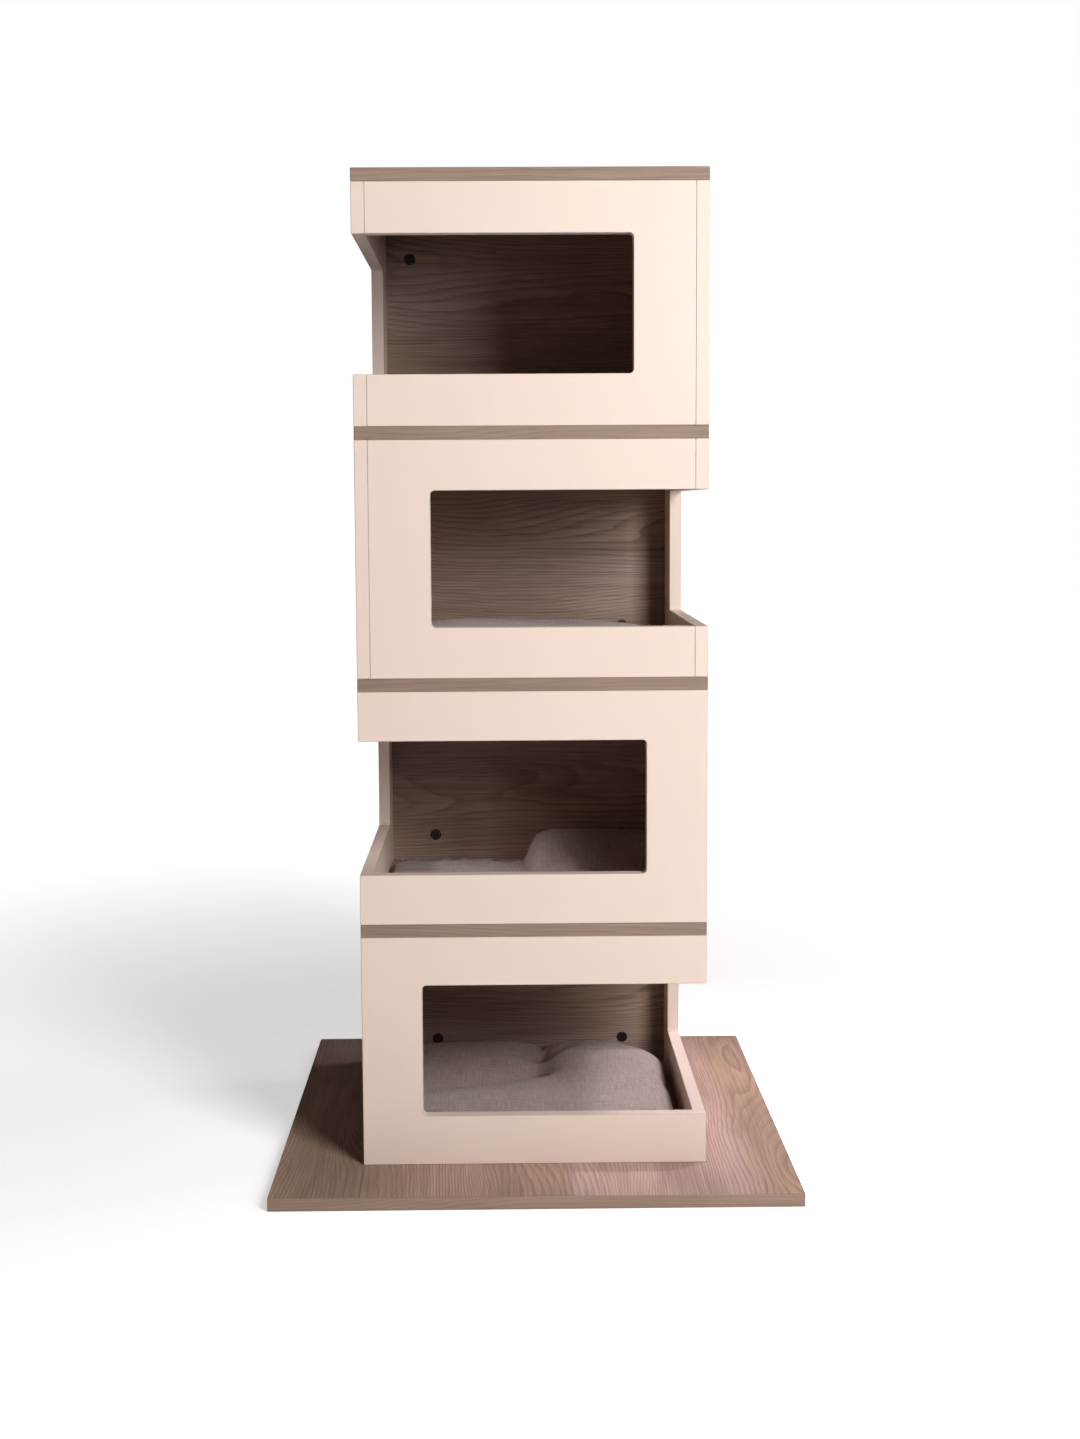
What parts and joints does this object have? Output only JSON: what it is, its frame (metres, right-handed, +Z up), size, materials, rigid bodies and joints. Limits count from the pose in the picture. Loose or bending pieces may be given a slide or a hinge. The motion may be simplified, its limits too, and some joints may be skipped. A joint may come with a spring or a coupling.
{
  "type": "cat tree",
  "caption": "Tall stacked cat tower with open-cornered boxes that alternate sides, wood-decor boards, a wide base plate and a loose cushion on each floor.",
  "frame": {"origin": "middle of the base plate's underside", "axes": "+Z up the tower, -Y towards the front, +X to the right as seen from the front"},
  "size_m": [0.6, 0.6, 1.155],
  "materials": {
    "white_board": "warm white satin melamine over board",
    "decor_board": "greyish brown oak decor, fine pores, matt",
    "linen": "plain linen weave, matt",
    "dowel_wood": "fluted beech, raw",
    "zinc_steel": "zinc-plated, satin"
  },
  "bodies": {
    "tower": {"base_plate": "decor_board", "front_panel_1": "white_board", "back_panel_1": "decor_board", "left_panel_1": "white_board", "right_panel_1": "white_board", "front_panel_2": "white_board", "back_panel_2": "decor_board", "left_panel_2": "white_board", "right_panel_2": "white_board", "front_panel_3": "white_board", "back_panel_3": "decor_board", "left_panel_3": "white_board", "right_panel_3": "white_board", "front_panel_4": "white_board", "back_panel_4": "decor_board", "left_panel_4": "white_board", "right_panel_4": "white_board", "shelf_1": "decor_board", "shelf_2": "decor_board", "shelf_3": "decor_board", "top_board": "decor_board", "corner_dowels": "dowel_wood", "board_dowels": "dowel_wood", "cam_locks": "zinc_steel", "cam_bolts": "zinc_steel", "base_screws": "zinc_steel"},
    "cushion_1": {"cushion_1": "linen"},
    "cushion_2": {"cushion_2": "linen"},
    "cushion_3": {"cushion_3": "linen"},
    "cushion_4": {"cushion_4": "linen"}
  },
  "joints": [
    {"name": "cushion_1_lift", "type": "slide", "parent": "tower", "child": "cushion_1", "axis": [0, 0, 1], "range_m": [0, 0.12]},
    {"name": "cushion_2_lift", "type": "slide", "parent": "tower", "child": "cushion_2", "axis": [0, 0, 1], "range_m": [0, 0.12]},
    {"name": "cushion_3_lift", "type": "slide", "parent": "tower", "child": "cushion_3", "axis": [0, 0, 1], "range_m": [0, 0.12]},
    {"name": "cushion_4_lift", "type": "slide", "parent": "tower", "child": "cushion_4", "axis": [0, 0, 1], "range_m": [0, 0.12]}
  ]
}
